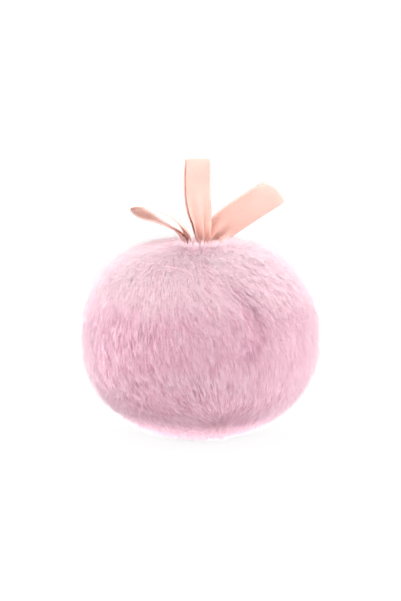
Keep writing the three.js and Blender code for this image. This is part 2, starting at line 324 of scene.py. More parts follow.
def flow(p, n):
    """The way the locks lie: down from the gathered top, leaning to the right, and in to the swirl."""
    down = np.tile([0.0, 0.0, -1.0], (len(p), 1))
    ring = unit(np.stack([-p[:, 1], p[:, 0], np.zeros(len(p))], 1))
    turn = RIGHTWARD * smooth(40, 10, p[:, 0]) * smooth(84, 70, p[:, 2]) * smooth(6, 22, p[:, 2])
    away = GATHERED - p
    near = np.linalg.norm(away, axis=1)
    from_left = smooth(10, -10, p[:, 0])
    away[:, 2] += PULL_DOWN * np.maximum(near - 10, 0) * from_left
    pull = (PULL + PULL_LEFT * from_left) * smooth(50, 16, p[:, 2]) * smooth(0, 18, -p[:, 1])
    pull *= smooth(75, 45, near)
    way = (down + ring * turn[:, None]) * (1 - pull)[:, None] + unit(away) * pull[:, None]
    parting = np.exp(-(((p[:, 0] - PARTING_X) / PARTING_WIDE) ** 2))
    parting *= smooth(50, 66, p[:, 2]) * smooth(20, 35, -p[:, 1])
    way[:, 0] += PARTED_BY * parting * np.tanh(p[:, 0] - PARTING_X)
    return unit(way - n * (way * n).sum(1, keepdims=True))


def spread(count, jitter):
    """Even directions over a sphere, each moved a little at random."""
    i = np.arange(count) + 0.5
    z = 1 - 2 * i / count
    turn = i * math.pi * (3 - math.sqrt(5))
    ring = np.sqrt(1 - z * z)
    u = np.stack([ring * np.cos(turn), ring * np.sin(turn), z], 1)
    return unit(u + rng.normal(0, jitter / math.sqrt(count), u.shape))


def soft_noise(points, size, offset=0.0):
    """Smooth noise from about -1 to 1 at points in millimetres."""
    scaled = points / size + offset
    return np.array([noise.noise(Vector(p)) for p in scaled])


# The plush pile
ROOT_DEPTH = 5.5  # from the tips of the pile down to the cloth
STEPS = 3
SHARES = np.linspace(0, 1, STEPS + 1)
TAPER = np.array([0.9, 1.0, 0.8])
RISE = 1.7  # how fast a hair comes up before it lies over
TRAVEL = 7.5  # how far a hair lies over
STRAY = 0.16  # how far single hairs stray from the way of the pile, in radians
LOCK_STRAY = 0.1
MOUTH_CLEAR = 11.3
UPRIGHT = 0.35  # share of its travel by which a hair at the mouth lies over
INWARD, INWARD_RADIUS = 0.6, 14
TUFTS, COARSE_LOCKS, FINE_LOCKS = 2500, 15000, 80000
FULL_HAIRS, QUICK_HAIRS = 200000, 80000
HAIR_WIDTH = 0.125
HAIRS_PER_PIECE = 12000


def hairs(u, travel, tip_depth, twist):
    """Middle lines of hairs, (hair, step, xyz), from their roots on the cloth to their tips."""
    lines = []
    root = shaped(u, np.full(len(u), ROOT_DEPTH))
    at_root = np.hypot(root[:, 0], root[:, 1])
    high = root[:, 2] > MIDDLE
    # Round the mouth the hairs stand up more, and half of them lean in over it.
    lying = np.where(high, UPRIGHT + (1 - UPRIGHT) * smooth(10, 19, at_root), 1.0)
    inward = high & (at_root < INWARD_RADIUS) & (rng.random(len(u)) < 0.5)
    lying = np.where(inward, -INWARD * rng.random(len(u)), lying)
    here = u.copy()
    before = 0.0
    for k in range(STEPS + 1):
        t = k / STEPS
        gone = travel * lying * t**1.25
        if k:
            n = outward(here)
            p = shaped(here, np.zeros(len(u)))
            way = flow(p, n)
            side = np.cross(n, way)
            way = way * np.cos(twist)[:, None] + side * np.sin(twist)[:, None]
            here = unit(here * radius_along(here)[:, None] + way * (gone - before)[:, None])
        before = gone
        depth = tip_depth + (ROOT_DEPTH - tip_depth) * (1 - t) ** RISE
        lines.append(shaped(here, depth))
    return np.stack(lines, 1), outward(here)


def random_hairs(u, lift=0.0, stray=LOCK_STRAY):
    """Hairs that wander in wide and in small waves, with lengths and heights of their own."""
    count = len(u)
    p = shaped(u, np.zeros(count))
    wander = 0.22 * soft_noise(p, 14) + 0.18 * soft_noise(p, 5, 7.0)
    twist = wander + rng.normal(0, stray, count)
    by_mouth = smooth(26, 16, np.hypot(p[:, 0], p[:, 1])) * (p[:, 2] > MIDDLE)
    length = TRAVEL * (1 + (0.22 + 0.2 * by_mouth) * rng.normal(0, 1, count).clip(-2, 2))
    length *= 1 - 0.4 * smooth(42, 24, p[:, 2])
    fluff = 1.2 * smooth(5, 30, p[:, 0]) * smooth(45, 70, p[:, 2])
    tip_depth = -lift + rng.normal(0.0, 0.4 + 0.4 * fluff, count)
    tip_depth += 0.4 * soft_noise(p, 4, 3.0) - 0.9 * fluff
    return hairs(u, length, tip_depth, twist)


def streaks(points, way, size, step):
    """Noise drawn out along the hairs, with a spread of about one."""
    total = sum(soft_noise(points + way * step * k, size) for k in range(-4, 5))
    return total / total.std()


def nearest(points, centres):
    tree = kdtree.KDTree(len(centres))
    for i, c in enumerate(centres):
        tree.insert(c, i)
    tree.balance()
    return np.array([tree.find(p)[1] for p in points])


def usable(u):
    """The directions whose hairs leave the mouth free for the ribbon."""
    root = shaped(u, np.full(len(u), ROOT_DEPTH))
    return u[(np.hypot(root[:, 0], root[:, 1]) > MOUTH_CLEAR) | (root[:, 2] < MIDDLE)]


def zones(rows, points):
    """Sum of amounts, each faded in over ranges of x and z given as (axis, from, to)."""
    total = 0
    for amount, *ranges in rows:
        term = amount
        for axis, start, end in ranges:
            term = term * smooth(start, end, points[:, axis])
        total = total + term
    return total


# Locks are coarse high up and fine low down, and the top gets a third more hairs.
HAIRS = FULL_HAIRS
tuft_u = usable(spread(TUFTS, 1.1))
lock_u = spread(FINE_LOCKS, 1.0)
coarse = spread(COARSE_LOCKS, 1.0)
low_down = shaped(lock_u, np.zeros(len(lock_u)))[:, 2] < 30 + rng.normal(0, 5, len(lock_u))
coarse_up = shaped(coarse, np.zeros(len(coarse)))[:, 2] > 24
lock_u = usable(np.concatenate([lock_u[low_down], coarse[coarse_up]]))
top_u = spread(HAIRS // 3, 0.8)
top_u = top_u[np.hypot(top_u[:, 0], top_u[:, 1]) < 0.55 * top_u[:, 2]]
hair_u = usable(np.concatenate([spread(HAIRS, 0.8), top_u]))
tuft_lines, _ = random_hairs(tuft_u)
lock_lines, _ = random_hairs(lock_u)
hair_lift = (rng.exponential(0.8, len(hair_u)) - 0.6).clip(-0.6, 3.2)
hair_lines, hair_normals = random_hairs(hair_u, hair_lift, STRAY)

# Locks draw a little together into tufts.
of_tuft = nearest(lock_lines[:, 1], tuft_lines[:, 1])
lock_pull = (0.25 * SHARES**1.4)[None, :, None]
lock_lines += (tuft_lines[of_tuft] - lock_lines) * lock_pull
of_lock = nearest(hair_lines[:, 1], lock_lines[:, 1])

# The pile is smooth on the shoulders and parts into clearer locks lower down. Each row is an
# amount, with the ranges of x (0) and z (2) over which it comes in.
PARTED = [
    (0.2,),
    (0.7, (2, 76, 52)),
    (1.0, (2, 40, 20)),
    (0.4, (0, 5, 25), (2, 55, 72)),
    (-0.35, (0, 0, -20), (2, 50, 60)),
    (0.4, (0, -10, -30), (2, 60, 50)),
    (-0.35, (0, 8, 30), (2, 60, 50)),
    (-0.3, (0, 10, 30), (2, 42, 30)),
]
UNDER_RIBBONS = [(-0.3, (2, 66, 74), (0, -8, 0), (0, 22, 12))]
parted = zones(PARTED, lock_lines[:, 2]) * (1 + zones(UNDER_RIBBONS, lock_lines[:, 2]))
parted = parted.clip(0.15, 2)
drawn = parted[of_lock].clip(0, 1.1) ** 0.5 * rng.uniform(0.5, 1.1, len(hair_u))
hair_pull = (0.7 * SHARES**1.1)[None, :] * drawn[:, None]
hair_lines += (lock_lines[of_lock] - hair_lines) * hair_pull.clip(0, 0.9)[:, :, None]
sunk = np.abs(rng.normal(0, 0.5, len(lock_u))) * parted.clip(0, 1)
hair_lines -= hair_normals[:, None] * (sunk[of_lock, None] * SHARES[None])[:, :, None]

# The tone of each hair, from dark at 0 to pale at 1: its own colour, with painted light and shade
# added to it. First what varies by lock and by hair.
lock_height = lock_lines[:, 2, 2]
lock_tone = rng.normal(0, 1, len(lock_u)) * parted * (0.09 + 0.12 * smooth(38, 28, lock_height))
lock_tone += 0.08 * soft_noise(lock_lines[:, 2], 9, 5.0)
# Sunk locks are painted darker and raised ones paler: painted shade in the grooves between locks.
lock_tone -= 0.12 * (sunk - 0.4)
tip = hair_lines[:, -1]
tip_height = tip[:, 2]
hair_way = flow(tip, hair_normals)
tone = 0.5 + lock_tone[of_lock] + rng.normal(0, 0.12, len(hair_u))
tone += (0.05 + 0.06 * parted[of_lock]) * streaks(tip, hair_way, 0.75, 1.3)
tone += 0.06 * smooth(40, 60, tip_height) * streaks(tip, hair_way, 2.6, 2.2)
# Hairs that stand proud of the pile are painted paler: painted light catching them.
tone += 0.12 * hair_lift.clip(0, 1.5)
# The dents are painted darker: painted shade in the hollows.
tone -= 0.13 * dents(tip)

# Then painted light and shade over the puff: the shoulders, the top left and the rims painted paler as
# if lit, and a belt and the left middle painted darker as shade.
PAINTED_LIGHT_AND_SHADE = [
    (0.3, (2, 48, 70)),
    (0.16, (0, 8, -14), (2, 48, 70)),
    (-0.07, (2, 62, 52), (2, 28, 38)),
    (-0.08, (0, 0, -20), (0, -46, -38), (2, 62, 52)),
    (-0.05, (2, 44, 30), (2, 6, 16)),
    (0.35, (2, 10, 3)),
    (0.12, (0, -25, -42), (2, 42, 26)),
]
tone += zones(PAINTED_LIGHT_AND_SHADE, tip)
# A wedge under the middle ribbon, at the front of the mouth, is painted paler: painted light over the
# shade of the ribbons.
painted_light_wedge = np.exp(-(((tip[:, 0] + 1.7) / 2.0) ** 2)) * smooth(74, 78, tip_height)
tone += 0.3 * painted_light_wedge * (tip[:, 1] < 0)
root_radius = np.hypot(hair_lines[:, 0, 0], hair_lines[:, 0, 1])
# Hairs round the mouth are painted paler: painted light in place of the shade they get there.
tone += 0.15 * smooth(26, 16, root_radius) * (tip_height > MIDDLE)
tone = tone.clip(0.02, 0.98)
hair_width = HAIR_WIDTH * rng.uniform(0.75, 1.2, len(hair_u)) * (FULL_HAIRS / HAIRS) ** 0.5
hair_width *= np.where(hair_lift > 0.2, 0.75, 1.05)


TONE_SPREAD = 0.006  # half the width of one hair on the map
MAP_MARGIN = 0.01
NORMAL_OUT, NORMAL_SOFT = 0.3, 0.7  # a hair is lit partly by its own form, mostly by the puff's


def fur_mesh(name, lines, normals, width, tones):
    """Tapered three-sided hairs as one mesh. Its map holds each hair's tone and the way along it."""
    count = len(lines)
    along = unit(np.gradient(lines, axis=1))
    side = unit(np.cross(along, normals[:, None, :]))
    up = np.cross(side, along)
    taper = TAPER[None, :] * width[:, None] / 2
    roll = rng.uniform(0, 2 * math.pi, count)
    rings, ring_normals = [], []
    soft = normals.copy()
    soft[:, 2] *= 1 - 0.7 * smooth(14, 3, lines[:, -1, 2])
    soft = unit(soft)
    for j in range(3):
        angle = (roll + j * 2 * math.pi / 3)[:, None, None]
        out = side[:, :STEPS] * np.cos(angle) + up[:, :STEPS] * np.sin(angle)
        rings.append(lines[:, :STEPS] + out * taper[:, :, None])
        ring_normals.append(unit(NORMAL_OUT * out + NORMAL_SOFT * soft[:, None, :]))
    per = 3 * STEPS + 1
    points = np.empty((count, per, 3))
    shading = np.empty((count, per, 3))
    points[:, :-1] = np.stack(rings, 2).reshape(count, 3 * STEPS, 3)
    shading[:, :-1] = np.stack(ring_normals, 2).reshape(count, 3 * STEPS, 3)
    points[:, -1] = lines[:, -1]
    shading[:, -1] = soft
    quads = []
    for k in range(STEPS - 1):
        for j in range(3):
            a, b = 3 * k + j, 3 * k + (j + 1) % 3
            quads.append((a, a + 3, b + 3, b))
    last = 3 * (STEPS - 1)
    tips = [(last + (j + 1) % 3, last + j, per - 1) for j in range(3)] + [(0, 1, 2)]
    base = (np.arange(count) * per)[:, None, None]
    quad_index = (base + np.array(quads)[None]).reshape(-1)
    tip_index = (base + np.array(tips)[None]).reshape(-1)
    corners = np.concatenate([quad_index, tip_index]).astype(np.int32)
    sizes = np.concatenate([np.full(len(quad_index) // 4, 4), np.full(len(tip_index) // 3, 3)])
    data = bpy.data.meshes.new(name)
    data.vertices.add(count * per)
    data.vertices.foreach_set("co", (points.reshape(-1) * MM).astype(np.float32))
    data.loops.add(len(corners))
    data.loops.foreach_set("vertex_index", corners)
    data.polygons.add(len(sizes))
    starts = np.concatenate([[0], np.cumsum(sizes)[:-1]]).astype(np.int32)
    data.polygons.foreach_set("loop_start", starts)
    v = np.empty((count, per))
    v[:, :-1] = np.repeat(SHARES[:STEPS], 3)[None]
    v[:, -1] = 1
    u = np.empty((count, per))
    u[:, :-1] = tones[:, None] + np.tile([-TONE_SPREAD, 0, TONE_SPREAD], STEPS)[None]
    u[:, -1] = tones
    uv = np.stack([u, MAP_MARGIN + (1 - 2 * MAP_MARGIN) * v], -1).reshape(-1, 2)
    layer = data.uv_layers.new(name="OFBake")
    layer.data.foreach_set("uv", uv[corners].reshape(-1).astype(np.float32))
    data.update()
    data.shade_smooth()
    data.normals_split_custom_set_from_vertices(shading.reshape(-1, 3).tolist())
    data.materials.append(fur.material)
    made = bpy.data.objects.new(name, data)
    bpy.context.scene.collection.objects.link(made)
    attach(made, "puff")


fur = Material("plush_hair")
tone_in, along_in = fur.uv("OFBake")
# Each hair darkens towards its root: painted shade deep in the pile.
down_hair = fur.ramp(
    along_in, [(0.0, "#eaa6be"), (0.35, "#f9c7d8"), (0.65, "#fedce7"), (1.0, "#ffeaf0")]
)
by_tone = fur.ramp(tone_in, [(0.0, "#cf9db4"), (0.5, "#f6e2eb"), (1.0, "#fffafb")])
toned = fur.mix(1.0, down_hair, by_tone, "MULTIPLY")
palest = fur.ramp(tone_in, [(0.7, 0.0), (0.98, 0.15)])
fur.principled(
    Base_Color=fur.mix(palest, toned, rgb("#fff6fa")),
    Roughness=fur.ramp(along_in, [(0.0, 0.85), (1.0, 0.55)]),
    Sheen_Weight=1.0,
    Sheen_Roughness=0.45,
    Sheen_Tint=rgb("#fff6f6"),
    Specular_IOR_Level=0.3,
)

order = np.argsort(np.arctan2(hair_u[:, 0], -hair_u[:, 1]))
pieces = math.ceil(len(order) / HAIRS_PER_PIECE)
for number, some in enumerate(np.array_split(order, pieces), 1):
    name = f"fur_hairs_{number:02d}"
    fur_mesh(name, hair_lines[some], hair_normals[some], hair_width[some], tone[some])

# One loose fibre lies across the left shoulder, a little proud of the pile: its x and z.
FIBRE_PROUD, FIBRE_RADIUS, FIBRE_POINTS = 1.6, 0.1, 40
loose = np.array([
    [-16.1, 75.6], [-15.1, 74.8], [-11.0, 74.7], [-7.8, 74.4], [-5.4, 73.7], [-2.4, 72.0],
])
at = np.linspace(0, len(loose) - 1, FIBRE_POINTS)
loose = np.stack([np.interp(at, range(len(loose)), loose[:, k]) for k in range(2)], 1)
loose = np.stack([np.convolve(np.pad(c, 4, "edge"), np.ones(9) / 9, "valid") for c in loose.T], 1)
flat_share = (np.abs(loose[:, 1] - MIDDLE) / HALF_HEIGHT) ** FULLNESS
reach = HALF_WIDTH * (1 - flat_share) ** (1 / FULLNESS)
loose_y = -np.sqrt(reach**2 - loose[:, 0] ** 2) * HALF_DEPTH / HALF_WIDTH
loose = np.stack([loose[:, 0], loose_y, loose[:, 1]], 1)
off = unit(loose - np.array([0, 0, MIDDLE]))
fibre_radius = FIBRE_RADIUS * np.sin(np.linspace(0.15, math.pi - 0.15, FIBRE_POINTS))
fibre_points, fibre_faces = tube(loose + off * FIBRE_PROUD, fibre_radius, off, sides=6)
loose_look = Material("loose_fibre")
loose_look.principled(
    Base_Color=loose_look.ramp(loose_look.noise(300), [(0.3, "#cf98ae"), (0.7, "#e0adc1")]),
    Roughness=loose_look.ramp(loose_look.noise(500), [(0.3, 0.5), (0.7, 0.7)]),
)
loose_fibre = mesh_object("loose_fibre", fibre_points, fibre_faces, loose_look.material)
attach(loose_fibre, "puff")

# Dense short pile under the hairs, as a hollow shell with a mouth at the top
UNDER_DEPTH, UNDER_INSIDE = 2.0, 12.0  # its outside and inside, under the tips of the pile
UNDER_TOP, UNDER_INSIDE_TOP = math.radians(69), math.radians(66)
under = Material("plush_undercoat")
under.principled(
    Base_Color=under.ramp(under.noise(900, 4), [(0.3, "#edaec5"), (0.7, "#f8c8d8")]),
    Roughness=under.ramp(under.noise(300), [(0.2, 0.8), (0.8, 1.0)]),
    Sheen_Weight=0.4,
    Sheen_Tint=rgb("#ffdfea"),
    Normal=under.bump(under.noise(2500, 3), 0.0004),
)

SEGMENTS, RINGS, INSIDE_RINGS = 180, 110, 40
turns = np.linspace(0, 2 * math.pi, SEGMENTS, endpoint=False)


def directions(latitudes):
    """Unit vectors all round the axis at each latitude, row by row."""
    lat, lon = np.meshgrid(latitudes, turns, indexing="ij")
    u = np.stack([np.cos(lat) * np.cos(lon), np.cos(lat) * np.sin(lon), np.sin(lat)], -1)
    return u.reshape(-1, 3)


outer_u = directions(np.linspace(-math.pi / 2, UNDER_TOP, RINGS)[1:])
inner_u = directions(np.linspace(UNDER_INSIDE_TOP, -math.pi / 2, INSIDE_RINGS)[:-1])
under_tufts = 0.4 * soft_noise(outer_u * 45, 3.0) + 0.3 * soft_noise(outer_u * 45, 1.3)
shell = shaped(outer_u, UNDER_DEPTH + under_tufts)
MOUTH_RINGS = [(13.6, 77.2), (12.3, 74.5), (12.2, 70.5)]  # radius and height, downwards
funnel = []
for radius, height in MOUTH_RINGS:
    level = np.full(SEGMENTS, height)
    funnel.append(np.stack([radius * np.cos(turns), radius * np.sin(turns), level], 1))
inner = shaped(inner_u, np.full(len(inner_u), UNDER_INSIDE))
rows = np.concatenate([shell, *funnel, inner])
count_rows = len(rows) // SEGMENTS
faces = [f[::-1] for f in grid_faces(count_rows, SEGMENTS, wrap_columns=True)]
pole_u = np.array([[0.0, 0.0, -1.0]])
poles = [shaped(pole_u, np.array([depth])) for depth in (UNDER_DEPTH, UNDER_INSIDE)]
points = np.concatenate([rows, *poles])
bottom, top = len(rows), len(rows) + 1
last_row = (count_rows - 1) * SEGMENTS
for j in range(SEGMENTS):
    k = (j + 1) % SEGMENTS
    faces.append((bottom, k, j))
    faces.append((top, last_row + j, last_row + k))
undercoat = mesh_object("plush_undercoat", points, faces, under.material)
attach(undercoat, "puff")
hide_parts("fur_pile")

# Satin ribbon
RIBBON_WIDTH = 12.0
RIBBON_THICKNESS = 0.28
PANELS = 4
FOLD = math.radians(60)
LEG_SPACING = 1.7  # between the two legs of a loop in the neck
TAIL = 9.5  # how deep the folded ends go into the neck
BEND_GAP = 0.9
BEND_HEIGHT = 77.75  # height of the loops' hinges
BUNDLE = 8.0
LEGS_TOGETHER = 0.18  # share of the length up to which a loop's legs stay together
SHOULDER_AT, SHOULDER = 0.9, 0.86  # so far along, a loop has this share of its widest
TIP_FROM = 0.7  # share of the length at which a loop starts to bow and slant
TIP_SHORT, TAIL_SHORT = 0.25, 0.5  # what the round ends of the path leave off
EDGE_STEEPNESS, EDGE_SHARE = 12, 0.25  # how the ribbon thins to this share at its edges
ROUNDED = 0.5  # how round the creases of the pleats are
RAMP_HEIGHT = 40.0  # the colours end this far up from the neck
COLUMNS, STATIONS = 48, 150

# In each loop, line, widest_at, unfold and yaw_over are shares of its length, widest and bow are
# shares of the ribbon's width, yaw is in degrees and root in shares of BUNDLE. bend_light_and_shade is
# the colour at its far end: painted light on the left loop, painted shade on the other two.
LOOPS = {
    "left": dict(
        across=(0, 1, 0), length=33.5, root=(-0.6, 0), bend_light_and_shade="#fff0e8",
        line=[(-0.009, 0, 0.112), (-0.086, -0.006, 0.28), (-0.352, -0.012, 0.486),
              (-0.715, -0.018, 0.642)],
        widest=0.42, widest_at=0.62, unfold=(0.06, 0.448),
        yaw=-20, yaw_over=(0.4, 0.95), bow=0.025, slant=0,
    ),
    "centre": dict(
        across=(1, 0, 0), length=40.7, root=(0.2, -0.45), bend_light_and_shade="#e6bcb0",
        line=[(-0.002, -0.009, 0.129), (-0.034, -0.03, 0.3), (-0.063, -0.032, 0.545),
              (-0.069, -0.018, 0.792), (-0.06, -0.008, 0.993)],
        widest=0.13, widest_at=0.6, unfold=(0.123, 0.688),
        yaw=34, yaw_over=(0.08, 0.36), bow=0.017, slant=0.05,
    ),
    "right": dict(
        across=(1, 0, 0), length=41.6, root=(0.3875, 0.45), bend_light_and_shade="#e8c0b5",
        line=[(0.014, 0.001, 0.083), (0.083, 0.012, 0.192), (0.184, 0.018, 0.29),
              (0.418, 0.02, 0.452), (0.706, 0.02, 0.638)],
        widest=0.283, widest_at=0.6, unfold=(0.048, 0.432),
        yaw=0, yaw_over=(0.08, 0.36), bow=0.12, slant=0.27,
    ),
}


class Curve:
    """A centripetal curve through points, read by its share of length."""

    def __init__(self, points, per=48):
        p = np.array(points, float)
        ends = np.vstack([2 * p[0] - p[1], p, 2 * p[-1] - p[-2]])
        parts = []
        for i in range(len(p) - 1):
            p0, p1, p2, p3 = ends[i : i + 4]
            gaps = np.linalg.norm(np.diff([p0, p1, p2, p3], axis=0), axis=1)
            d0, d1, d2 = np.maximum(gaps**0.5, 1e-4)
            m1 = ((p1 - p0) / d0 - (p2 - p0) / (d0 + d1) + (p2 - p1) / d1) * d1
            m2 = ((p2 - p1) / d1 - (p3 - p1) / (d1 + d2) + (p3 - p2) / d2) * d1
            t = np.linspace(0, 1, per, endpoint=i == len(p) - 2)[:, None]
            square, cube = 3 * (p2 - p1) - 2 * m1 - m2, 2 * (p1 - p2) + m1 + m2
            parts.append(p1 + m1 * t + square * t**2 + cube * t**3)
        self.points = np.vstack(parts)
        steps = np.linalg.norm(np.diff(self.points, axis=0), axis=1)
        self.at = np.concatenate([[0], np.cumsum(steps)])
        self.length = self.at[-1]

    def point(self, share):
        where = np.clip(share, 0, 1) * self.length
        return np.array([np.interp(where, self.at, self.points[:, k]) for k in range(3)]).T

    def heading(self, share):
        e = 1e-3
        return unit(self.point(np.minimum(share + e, 1)) - self.point(np.maximum(share - e, 0)))


def turned_about(v, axis, angle):
    """Vectors turned about unit axes."""
    c, s = np.cos(angle)[:, None], np.sin(angle)[:, None]
    return v * c + np.cross(axis, v) * s + axis * (axis * v).sum(1, keepdims=True) * (1 - c)


def fold_wave(u):
    """Height of the folds across the ribbon, with creases a little rounder than sharp ones."""
    half = RIBBON_WIDTH / PANELS / 2
    along = (u + RIBBON_WIDTH / 2) % (4 * half)
    sharp = half - np.abs(along - 2 * half)
    return (1 - ROUNDED) * sharp + ROUNDED * half * np.sin(sharp / half * math.pi / 2)


def ribbon_stations(loop):
    """Stations all the way round one loop and its folded ends in the neck, and its hinge."""
    across0 = np.array(loop["across"], float)
    hinge = np.array([loop["root"][0] * BUNDLE, loop["root"][1] * BUNDLE, BEND_HEIGHT])
    length = loop["length"]
    line = Curve([hinge, *(np.array(p) * length + hinge for p in loop["line"])])
    root, wide = LEG_SPACING / 2, loop["widest"] * RIBBON_WIDTH / 2
    leg = [
        (BEND_GAP / 2, root), (length * LEGS_TOGETHER, root),
        (length * loop["widest_at"], wide), (length * SHOULDER_AT, wide * SHOULDER),
    ]
    one_way = [(h, -w, 0) for h, w in leg]
    path = Curve([*one_way, (length - TIP_SHORT, 0, 0), *((h, -w, 0) for h, w, _ in one_way[::-1])])
    share = np.linspace(0, 1, STATIONS)
    flat, heading = path.point(share), path.heading(share)
    up = np.clip(flat[:, 0] / length, 0, 1)
    onward = line.heading(up)
    opened = smooth(*loop["unfold"], up)
    outwards = unit(np.cross(np.tile(across0, (STATIONS, 1)), onward))
    turn = math.radians(loop["yaw"]) * smooth(*loop["yaw_over"], up)
    across = turned_about(unit(np.cross(onward, outwards)), onward, turn)
    depth = unit(np.cross(onward, across))
    normal = unit(depth * heading[:, :1] - onward * heading[:, 1:2])
    at_tip = smooth(TIP_FROM, 1, up)
    loop_part = dict(
        middle=line.point(up) + depth * flat[:, 1:2],
        across=across, pleat=depth, normal=normal, onward=onward,
        fold=FOLD * (1 - opened), bow=loop["bow"] * RIBBON_WIDTH * at_tip,
        slant=loop["slant"] * at_tip, up=up,
    )
    # The folded ends: down into the neck on the far side, round, and back up on the near side.
    upright = np.array([0.0, 0.0, 1.0])
    deep = np.cross(upright, across0)
    turn_at = TAIL - root - TAIL_SHORT
    fall = np.linspace(BEND_GAP / 2, turn_at, 10)[:-1]
    angle = np.linspace(0, math.pi, 13)
    route = np.concatenate([
        np.stack([-fall, np.full(len(fall), root)], 1),
        np.stack([-turn_at - root * np.sin(angle), root * np.cos(angle)], 1),
        np.stack([-fall[::-1], np.full(len(fall), -root)], 1),
    ])
    n = len(route)
    ahead = unit(np.gradient(route, axis=0))
    end_part = dict(
        middle=hinge + upright * route[:, :1] + deep * route[:, 1:],
        across=np.tile(across0, (n, 1)), pleat=np.tile(deep, (n, 1)),
        normal=unit(deep * ahead[:, :1] - upright * ahead[:, 1:]),
        onward=np.tile(upright, (n, 1)), fold=np.full(n, FOLD), bow=np.zeros(n),
        slant=np.zeros(n), up=np.zeros(n),
    )
    whole = {key: np.concatenate([loop_part[key], end_part[key]]) for key in loop_part}
    return whole, hinge


def ribbon_material(name, bend_light_and_shade):
    """Woven satin, with light and shade painted along it. Its map holds the way across the ribbon and
    the height up from the neck.
    """
    m = Material(name)
    across, height_up = m.uv("ribbon")
    weave = m.add("ShaderNodeTexWave", wave_type="BANDS", bands_direction="X")
    weave.inputs["Scale"].default_value = 2.2
    coords = m.add("ShaderNodeCombineXYZ")
    m.join(height_up, coords.inputs[0])
    m.join(coords.outputs[0], weave.inputs["Vector"])
    half = RIBBON_WIDTH / 2
    off_middle = m.math("DIVIDE", m.math("ABSOLUTE", m.math("SUBTRACT", across, half)), half)
    # A woven selvage at both edges, painted darker: its darker colour is partly painted shade along
    # the turned edges.
    selvage_and_edge_shade = m.ramp(off_middle, [(0.0, 0.0), (0.93, 0.0), (0.96, 1.0), (1.0, 1.0)])
    cloud = m.noise(120, 3)
    # The satin is painted paler near the neck and darker up towards the bends: painted light and shade
    # along the ribbon.
    light_and_shade_by_height = m.ramp(
        m.math("DIVIDE", height_up, RAMP_HEIGHT),
        [(0.0, "#f5c9bc"), (0.25, "#f2c5b8"), (0.6, "#e9beb1"), (1.0, bend_light_and_shade)],
    )
    base = m.mix(1.0, light_and_shade_by_height, m.ramp(cloud, [(0.3, "#f6f2f1"), (0.7, "#ffffff")]), "MULTIPLY")
    colour = m.mix(selvage_and_edge_shade, base, rgb("#e6bdb0"))
    threads = m.math("MULTIPLY", weave.outputs["Fac"], 0.15)
    relief = m.math("ADD", threads, m.math("MULTIPLY", cloud, 0.3))
    m.principled(
        Base_Color=colour,
        Roughness=m.ramp(m.noise(400), [(0.3, 0.42), (0.7, 0.55)]),
        Sheen_Weight=0.05,
        Sheen_Tint=rgb("#fff1ec"),
        Specular_IOR_Level=0.35,
        Anisotropic=0.5,
        Normal=m.bump(relief, 0.0002, 0.6),
    )
    return m.material


def ribbon_rows(part, face):
    """One face of a ribbon, 1 or -1, as rows of points across it. It thins towards its edges."""
    u = np.linspace(-0.5, 0.5, COLUMNS + 1)[None, :, None] * RIBBON_WIDTH
    fold = part["fold"][:, None, None]
    out = 2 * u / RIBBON_WIDTH
    bowed = part["slant"][:, None, None] * u - part["bow"][:, None, None] * out**2
    from_edge = 1 - np.abs(out)
    thinned = np.minimum(1, from_edge * EDGE_STEEPNESS + EDGE_SHARE)
    half = RIBBON_THICKNESS / 2 / np.cos(fold) * thinned
    return (
        part["middle"][:, None]
        + part["across"][:, None] * u * np.cos(fold)
        + part["pleat"][:, None] * fold_wave(u) * np.sin(fold)
        + part["normal"][:, None] * face * half
        + part["onward"][:, None] * bowed
    )


for side_name, loop in LOOPS.items():
    ring_path, hinge = ribbon_stations(loop)
    rows = np.concatenate([ribbon_rows(ring_path, 1), ribbon_rows(ring_path, -1)[:, ::-1]], axis=1)
    stations, ring = rows.shape[:2]
    faces = grid_faces(stations, ring, wrap_rows=True, wrap_columns=True)
    # Each loop gets its own copy of the satin, differing only in the painted light or painted shade at
    # its bend.
    satin = ribbon_material(f"satin_ribbon_{side_name}", loop["bend_light_and_shade"])
    made = mesh_object(f"satin_ribbon_{side_name}", rows.reshape(-1, 3), faces, satin)
    middle = ring_path["middle"]
    height_up = ring_path["up"] * loop["length"]
    widths = np.linspace(0, RIBBON_WIDTH, COLUMNS + 1)
    across_at = np.concatenate([widths, widths[::-1]])
    uv = []
    for face in faces:
        for corner in face:
            at_row, at_column = divmod(corner, ring)
            uv.append((across_at[at_column], height_up[at_row]))
    layer = made.data.uv_layers.new(name="ribbon")
    layer.data.foreach_set("uv", np.array(uv, np.float32).reshape(-1))
    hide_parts(f"ribbon_loop_{side_name}", f"ribbon_ends_{side_name}")
    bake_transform(made)

# The backing cloth and its neck
CLOTH = 0.6
NECK_OUTSIDE, NECK_FOOT, NECK_TOP = 10.3, 71.5, 77.0
GATHER_REACH = 21.0  # the radius at which the cloth begins to draw in to the neck
BALL_WIDTH, BALL_HEIGHT, BALL_MIDDLE = 36.0, 29.5, 41.5
BALL_DEEP = 34 / 36
OUTLINE_POINTS, CLOTH_AROUND, FILLING_AROUND = 60, 320, 120
PLEATS, SMALL_PLEATS = 10, 30  # how many gathers run down from the neck
FILLING_UNDER = 1.3  # from the outside of the cloth to the filling
UNDER_TAILS = 0.6  # from the ribbons' folded ends to the filling


